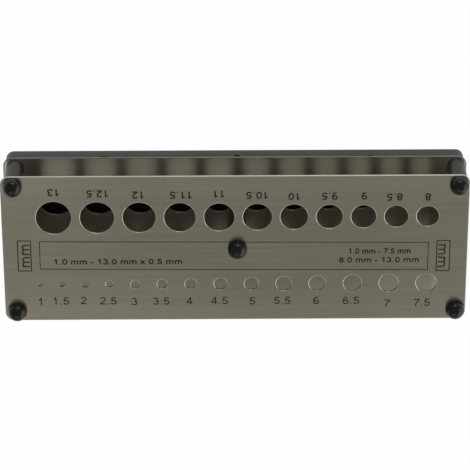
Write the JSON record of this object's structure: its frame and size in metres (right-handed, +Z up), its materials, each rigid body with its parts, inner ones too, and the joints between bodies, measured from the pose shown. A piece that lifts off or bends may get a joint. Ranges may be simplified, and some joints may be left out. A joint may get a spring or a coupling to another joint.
{
  "type": "drill bit stand",
  "caption": "Two-tier stand of brushed steel plates over a moulded tray, holding twist drills upright in graduated holes.",
  "frame": {"origin": "centre of the underside, where the tray stands", "axes": "+X along the stand to the right as read from the small-hole side, +Y towards the large-hole side, +Z up out of the holes"},
  "size_m": [0.175, 0.06, 0.0298],
  "materials": {
    "brushed_stainless": "straight brushed grain along the length",
    "tray_plastic": "satin moulded",
    "spacer_plastic": "satin extruded tube",
    "cap_plastic": "glossy moulded",
    "screw_steel": "zinc plated"
  },
  "bodies": {
    "root": {"top_plate": "brushed_stainless", "middle_plate": "brushed_stainless", "base_tray": "tray_plastic", "spacer_front_left": "spacer_plastic", "tie_screw_front_left": "screw_steel", "nut_front_left": "screw_steel", "spacer_front_right": "spacer_plastic", "tie_screw_front_right": "screw_steel", "nut_front_right": "screw_steel", "spacer_back_left": "spacer_plastic", "tie_screw_back_left": "screw_steel", "nut_back_left": "screw_steel", "spacer_back_right": "spacer_plastic", "tie_screw_back_right": "screw_steel", "nut_back_right": "screw_steel", "spacer_centre": "spacer_plastic", "tie_screw_centre": "screw_steel", "nut_centre": "screw_steel", "caps_front": "cap_plastic", "caps_back": "cap_plastic", "cap_centre": "cap_plastic"}
  },
  "joints": []
}
